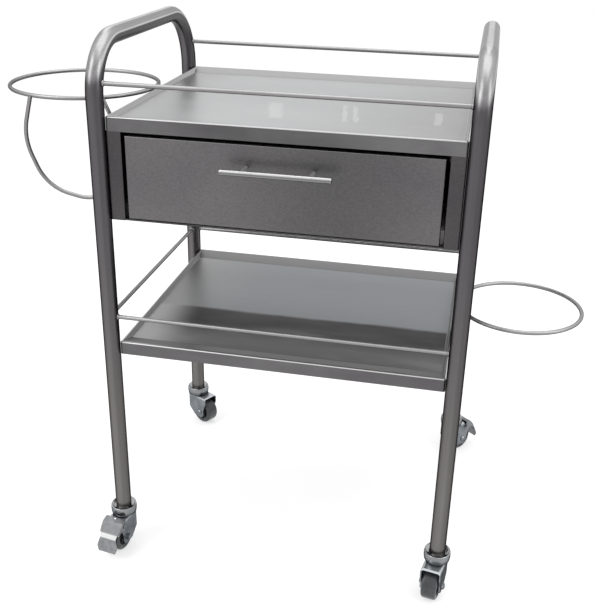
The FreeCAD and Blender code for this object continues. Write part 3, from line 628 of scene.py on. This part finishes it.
# %% [markdown]
# ### Handle rod
# The handle is a bright round bar that was turned and polished, so its fine rings go round it. They
# could be modelled as grooves, but they are far too fine for that. Noise that is squeezed along the
# bar gives them as a pattern. Like the rods, the bar has a painted highlight on top, and painted
# shade, its darkest tone, on its flanks, where it mirrors the drawer front.

# %% Handle rod


def handle_rod():
    bench = new_finish("handle_rod")
    place = bench.place()
    upward = bench.facing()[2]
    rings = noise(stretched(place, 900, 40, 40))
    wear = noise(place, scale=60)
    # Painted shade on the flanks and a painted highlight on top.
    flank = mix(step(upward, -0.8, -0.1), tone(150), tone(118))
    colour = dimmed(mix(step(upward, 0.1, 0.6), flank, tone(200)), rings * 0.16 + wear * 0.1 + 0.87)
    rough = rings * 0.08 + wear * 0.08 + 0.22
    return finished(metal(colour, rough, bump(rings, 2 * MICRON), edge=150))


keep("handle_rod", handle_rod())

# %% [markdown]
# ### Plated forks and screws
# The forks and screws are zinc plated. The plating is cloudy and finely pitted, the forks with a
# blue cast, and what faces up gets a painted highlight. A single grey would do for a far view, but
# close up it looks like plastic. Two tones in blotches over a relief of pits hold in both views.

# %% Plated metal
BLOTCH_EDGES = (0.35, 0.65)


def plated(name, dark, light, warmth, smooth, blotch):
    """Plated steel: two tones in blotches of a given fineness, with a fine pitting, and a painted
    highlight where it faces up.
    """
    bench = new_finish(name)
    place = bench.place()
    upward = bench.facing()[2]
    blotches = noise(place, scale=blotch, detail=3)
    pits = noise(place, scale=900)
    flat = mix(ramp(blotches, *BLOTCH_EDGES), tone(dark, warmth), tone(light, warmth))
    # Painted highlight on what faces up.
    colour = mix(step(upward, 0.3, 0.9), flat, tone(light + 64, warmth))
    return finished(metal(colour, blotches * 0.16 + smooth, bump(pits, 30 * MICRON), edge=110))


keep("fork_zinc", plated("fork_zinc", dark=122, light=144, warmth=-4, smooth=0.22, blotch=70))
keep("screw_zinc", plated("screw_zinc", dark=186, light=212, warmth=0, smooth=0.20, blotch=200))

# %% [markdown]
# ### Brake pedals
# The brake pedals are a lighter, satin zinc. They have a painted highlight in a band at the fold,
# painted light on their flat tops and painted shade where the steel slopes. The band could be a
# piece of its own, but it is only painted light. A mask between two heights puts it in place.

# %% Pedal zinc
FOLD_LOW = 0.0405
FOLD_HIGH = 0.0450
FOLD_BLUR = 0.002
FACING_UP = (0.5, 0.62)
ON_FLAT_TOP = (0.8, 0.92)


def pedal_zinc():
    bench = new_finish("pedal_zinc")
    place = bench.place()
    height = place.parts()[2]
    upward = bench.facing()[2]
    blotches = noise(place, scale=120, detail=3)
    scuffs = noise(stretched(place, 300, 300, 60))
    # Painted highlight in a band at the fold.
    above_low = step(height, FOLD_LOW - FOLD_BLUR, FOLD_LOW)
    above_high = step(height, FOLD_HIGH, FOLD_HIGH + FOLD_BLUR)
    fold_highlight = above_low * (1 - above_high) * (scuffs * 0.4 + 0.5)
    zinc = mix(ramp(blotches, *BLOTCH_EDGES), tone(128, -2), tone(146, -2))
    # Painted shade where the steel slopes and painted light on the flat tops.
    darker = step(upward, *FACING_UP) * 0.42
    lighter = step(upward, *ON_FLAT_TOP) * 0.6
    zinc = dimmed(zinc, 1.0 - darker + lighter)
    relief = bump(scuffs, 30 * MICRON)
    return finished(metal(mix(fold_highlight, zinc, tone(206)), blotches * 0.14 + 0.26, relief, edge=130))


keep("pedal_zinc", pedal_zinc())

# %% [markdown]
# ### Caster cups
# A dished cup of bright chrome covers the top of each caster. Its rim and the dish that the tube
# stands in are light, and its side is darker towards the foot. Real chrome only mirrors, and a
# plain mirror could be used, but in a white surrounding that would show the cup white all over. So
# the reflections are painted on as tones by height, light on the rim and dish and shade down the
# side, and the polish only adds a soft swirl.

# %% Cup chrome
DISH_FLOOR = 0.0752
CUP_SIDE = (0.062, 0.0700)


def cup_chrome():
    bench = new_finish("cup_chrome")
    place = bench.place()
    height = place.parts()[2]
    upward = bench.facing()[2]
    swirl = noise(stretched(place, 60, 60, 30))
    # Painted reflection: shade down the side, light on the rim and the dish.
    side = mix(step(height, *CUP_SIDE), tone(92, -3), tone(138, -2))
    above_dish = step(height, DISH_FLOOR - 0.001, DISH_FLOOR + 0.0004)
    top = mix(above_dish, tone(176, -2), tone(196))
    colour = dimmed(mix(step(upward, 0.45, 0.85), side, top), swirl * 0.5 + 0.75)
    return finished(metal(colour, swirl * 0.12 + 0.12, edge=140))


keep("cup_chrome", cup_chrome())

# %% [markdown]
# ### Rubber, plastics, paint and the handle's posts
# The wheels have a hard grey tyre on a grey hub, the tube plugs are black, the runner rollers are
# milky, and the runners are steel under a thin coat of off-white paint. Each could have its own
# recipe, but they differ only in tones, roughness and the fineness of their skin, so one serves
# them all. The handle's posts are satin steel. They take this recipe too, because a short post that
# mirrors only the drawer front would turn too dark as bare metal, so their lighter grey is painted
# light.

# %% Rubber, plastics, paint and posts


def moulded(name, dark, light, warmth, rough, pebble, depth):
    """A mottled tone over a fine skin, whose pebbles have a given fineness and depth."""
    place = new_finish(name).place()
    skin = noise(place, scale=pebble, detail=3)
    dust = noise(place, scale=70, detail=4)
    colour = mix(ramp(dust, 0.35, 0.7), tone(dark, warmth), tone(light, warmth))
    return finished(surface(colour, dust * 0.2 + rough, bump(skin, depth * MICRON)))


keep("runner_white", moulded("runner_white", 205, 220, 1, rough=0.30, pebble=500, depth=30))
keep("roller_plastic", moulded("roller_plastic", 196, 214, 2, rough=0.40, pebble=400, depth=40))
keep("hub_plastic", moulded("hub_plastic", 66, 84, -2, rough=0.34, pebble=500, depth=50))
keep("tyre_rubber", moulded("tyre_rubber", 66, 84, -3, rough=0.10, pebble=700, depth=20))
keep("plug_plastic", moulded("plug_plastic", 26, 36, 0, rough=0.45, pebble=500, depth=40))
# The posts' lighter grey is painted light in place of their reflections.
keep("handle_posts", moulded("post_steel", 136, 158, 0, rough=0.20, pebble=300, depth=10))

# %% [markdown]
# ## Dress the CAD pieces
# Each piece of the real table has one finish. The meshes could be modelled again with finer detail,
# but their shapes are right as they are. So each keeps its mesh, and only its material is changed:
# to the one kept under the piece's own name, or else to the one of its slot.

# %% Give every CAD piece its finish
slot_of_node = {row["node"]: row["material_slot"] for row in frame["record"]["subparts"]}
for name, piece in nodes.items():
    finish = finishes.get(name, finishes[slot_of_node[name]])
    if not piece.material_slots:
        piece.data.materials.append(finish)
    for material_slot in piece.material_slots:
        material_slot.material = finish
print("dressed", len(nodes), "CAD pieces")

# %% [markdown]
# ## New pieces
# Welds and rivets are added as pieces of their own. Each is made as a bmesh, where operators such
# as spin and bevel work without the editor. A piece could also be placed by moving its object, but
# here the place is in its mesh, so that the patterns above, which read it, stay where they belong.

# %% Helper for new pieces
MERGE_DISTANCE = 1e-7


def piece_from(builder, name, body, slot):
    """Makes a finished piece from a bmesh, at the origin, and hangs it on its body."""
    bmesh.ops.remove_doubles(builder, verts=builder.verts, dist=MERGE_DISTANCE)
    bmesh.ops.recalc_face_normals(builder, faces=builder.faces)
    for face in builder.faces:
        face.smooth = True
    mesh = bpy.data.meshes.new(name)
    builder.to_mesh(mesh)
    builder.free()
    mesh.materials.append(finishes[slot])
    made = bpy.data.objects.new(name, mesh)
    bpy.context.scene.collection.objects.link(made)
    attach(made, body)
    print("piece", name, "with", len(mesh.polygons), "faces")


print("new pieces are merged within", MERGE_DISTANCE, "m")

# %% [markdown]
# ## Welds
# Each rail of the real table is welded where it meets a tube, and the weld is brushed down to a
# small collar. It could be a torus that is squashed onto the joint. A short profile, spun once
# round the rod, gives the collar its rounded outside directly. The rails end on the inner sides of
# the legs, and the boxes of their nodes say where, so the collars sit just there.

# %% Profile of a weld collar
ROD_RADIUS = 0.0032
COLLAR_STEPS = 20
COLLAR_PROFILE = (
    # along the rod from the collar's middle, and out from the rod's axis
    (-0.0008, ROD_RADIUS - 0.0002),
    (-0.0008, ROD_RADIUS + 0.0014),
    (0.0002, ROD_RADIUS + 0.0014),
    (0.0009, ROD_RADIUS + 0.0010),
    (0.0015, ROD_RADIUS + 0.0004),
    (0.0018, ROD_RADIUS - 0.0002),
)


def spun_ring(builder, profile, at, axis):
    """Spins a closed profile of (along the axis, out from it) round an axis through a point."""
    out = axis.orthogonal().normalized()
    corners = [builder.verts.new(at + axis * along + out * away) for along, away in profile]
    neighbours = corners[1:] + corners[:1]
    edges = [builder.edges.new(pair) for pair in zip(corners, neighbours)]
    bmesh.ops.spin(
        builder, geom=edges, cent=at, axis=axis, angle=math.tau, steps=COLLAR_STEPS, use_merge=True
    )


print("collar profile of", len(COLLAR_PROFILE), "corners")

# %% Weld collars at the ends of the rails
COLLAR_INSET = 0.0006
ALONG_X = 0
ALONG_Y = 1


def rail_welds(node, direction):
    """Two collars, one at each end of a straight rail that runs along x or y."""
    low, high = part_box(node)
    builder = bmesh.new()
    for end, inward in ((low, 1), (high, -1)):
        at = (low + high) / 2
        at[direction] = end[direction] + inward * COLLAR_INSET
        axis = Vector((0, 0, 0))
        axis[direction] = inward
        spun_ring(builder, COLLAR_PROFILE, at, axis)
    piece_from(builder, node + "_welds", "table", "rod")


for node in ("top_front_rail", "top_rear_rail", "lower_front_rail", "lower_rear_rail"):
    rail_welds(node, ALONG_X)
for node in ("lower_left_rail", "lower_right_rail"):
    rail_welds(node, ALONG_Y)

# %% [markdown]
# ## Rivets
# A rivet holds each brake pedal to its spring, and its round head shows on the pedal's flat top. A
# flattened ball could stand for it, but that has no clean foot. A short cylinder whose upper edge
# is bevelled round has one. The pedal's top slopes down a little towards its toe, so the rivet is
# tilted with it. The caster's cup stands round the leg, so the middle of its box is the leg's
# middle, once it is rounded to a hundredth of a millimetre.

# %% Head of a rivet
RIVET_RADIUS = 0.0021
RIVET_HEIGHT = 0.0014
RIVET_ROUNDING = RIVET_HEIGHT * 0.45


def rivet_head():
    """A short cylinder with a rounded upper edge, at the origin."""
    builder = bmesh.new()
    bmesh.ops.create_cone(
        builder, cap_ends=True, segments=24,
        radius1=RIVET_RADIUS, radius2=RIVET_RADIUS, depth=RIVET_HEIGHT,
    )
    upper = [edge for edge in builder.edges if all(corner.co.z > 0 for corner in edge.verts)]
    bmesh.ops.bevel(
        builder, geom=upper, offset=RIVET_ROUNDING, affect="EDGES", segments=3, profile=0.5,
        material=-1,
    )
    return builder


print("rivet head", RIVET_RADIUS * 2, "m wide")

# %% Rivets on the brake pedals
RIVET_OUT = 0.0285
RIVET_UP = 0.0627
TOP_SLOPE = math.radians(8.6)
METRE_DECIMALS = 5


def pedal_rivet(corner, degrees):
    """A rivet on a pedal's flat top, out from the leg's middle in the way that the wheel points."""
    low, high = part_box(corner + "_cup")
    leg = [round(value, METRE_DECIMALS) for value in (low + high) / 2]
    heading = math.radians(degrees)
    turn = Matrix.Rotation(heading, 4, "Z") @ Matrix.Rotation(TOP_SLOPE, 4, "Y")
    out = Vector((math.cos(heading), math.sin(heading), 0)) * RIVET_OUT
    at = Matrix.Translation(Vector((leg[0], leg[1], RIVET_UP)) + out)
    builder = rivet_head()
    bmesh.ops.transform(builder, matrix=at @ turn, verts=builder.verts)
    piece_from(builder, corner + "_pedal_rivet", "pedal_" + corner, "screw_zinc")


pedal_rivet("front_left", -100)
pedal_rivet("rear_right", 50)

# %% [markdown]
# ## Floor
# The table stands in a plain pale studio. More light could make its floor white, but would wash out
# the table too. So the floor is a matt sheet that glows a little, though only towards the camera
# and in reflections. It shows white, adds no light to matt pieces, and keeps the table's shadow.

# %% Floor
FLOOR_HALF = 60.0
builder = bmesh.new()
bmesh.ops.create_grid(builder, x_segments=1, y_segments=1, size=FLOOR_HALF)
floor_mesh = bpy.data.meshes.new("floor")
builder.to_mesh(floor_mesh)
builder.free()
floor = bpy.data.objects.new("floor", floor_mesh)
bpy.context.scene.collection.objects.link(floor)
print("floor", 2 * FLOOR_HALF, "m wide")

# %% Finish of the floor
FLOOR_WHITE = 0.8
FLOOR_GLOW = 0.56


def seen_directly(bench):
    """1 for a ray from the camera, a reflection or clear glass, and 0 for one that lights."""
    camera_ray = bench.node("ShaderNodeLightPath", out="Is Camera Ray")
    glossy_ray = bench.node("ShaderNodeLightPath", out="Is Glossy Ray")
    clear_ray = bench.node("ShaderNodeLightPath", out="Is Transmission Ray")
    return camera_ray + glossy_ray + clear_ray


def glowing_floor():
    bench = new_finish("floor")
    white = (FLOOR_WHITE, FLOOR_WHITE, FLOOR_WHITE, 1)
    matt = bench.node("ShaderNodeBsdfDiffuse", None, {"Color": white})
    strength = seen_directly(bench) * FLOOR_GLOW
    glow = bench.node("ShaderNodeEmission", None, {"Strength": strength})
    return finished(bench.node("ShaderNodeAddShader", None, {0: matt, 1: glow}))


floor_mesh.materials.append(glowing_floor())
print("floor glows with", FLOOR_GLOW)

# %% [markdown]
# ## Surroundings
# Round the table the camera and every reflection see plain white. The light that comes from there
# is a softer grey, which leaves room for the lamps. A closed room could be built, but it would have
# to be lit as well. Two backgrounds, with a switch that asks what a ray is for, need no room.

# %% Surroundings
AMBIENT = 0.55
world = bpy.data.worlds.new("studio")
sky = Bench(world)
white = sky.node("ShaderNodeBackground", None, {"Color": (1, 1, 1, 1), "Strength": 1.0})
soft = sky.node("ShaderNodeBackground", None, {"Color": (1, 1, 1, 1), "Strength": AMBIENT})
shown = sky.node("ShaderNodeMixShader", None, {0: seen_directly(sky), 1: soft, 2: white})
sky.node("ShaderNodeOutputWorld", None, {"Surface": shown})
bpy.context.scene.world = world
print("surroundings light with", AMBIENT)

# %% [markdown]
# ## Lamps
# Three soft boxes light the table: one from the front left, a smaller one from the right and the
# widest one overhead. Small lamps could give the same light, but would show as hard spots in the
# metal. Each box draws one bright line on a round tube, which is what makes polished tube look like
# tube. The boxes are wide and weak, so that a tray that mirrors one stays grey.

# %% Lamps
TABLE_MIDDLE = Vector((0, 0, 0.5))


def soft_box(name, at, width, height, power):
    """A rectangular lamp that points at the middle of the table."""
    data = bpy.data.lights.new(name, "AREA")
    data.shape = "RECTANGLE"
    data.size = width
    data.size_y = height
    data.energy = power
    lamp = bpy.data.objects.new(name, data)
    lamp.location = at
    lamp.rotation_euler = (TABLE_MIDDLE - Vector(at)).to_track_quat("-Z", "Y").to_euler()
    bpy.context.scene.collection.objects.link(lamp)
    print("lamp", name, "of", power, "W")


soft_box("front_left_box", at=(-1.9, -1.7, 2.3), width=1.5, height=2.0, power=24)
soft_box("right_box", at=(2.4, -0.9, 1.7), width=1.0, height=2.0, power=12)
soft_box("top_box", at=(0.1, 0.3, 2.9), width=2.6, height=2.0, power=18)

# %% [markdown]
# The view transform decides how light becomes screen colour. The usual one bends tones for a look
# like film. Standard leaves them alone, so that a tone shows about as it was written above.

# %% View
bpy.context.scene.view_settings.view_transform = "Standard"
print("view transform", bpy.context.scene.view_settings.view_transform)
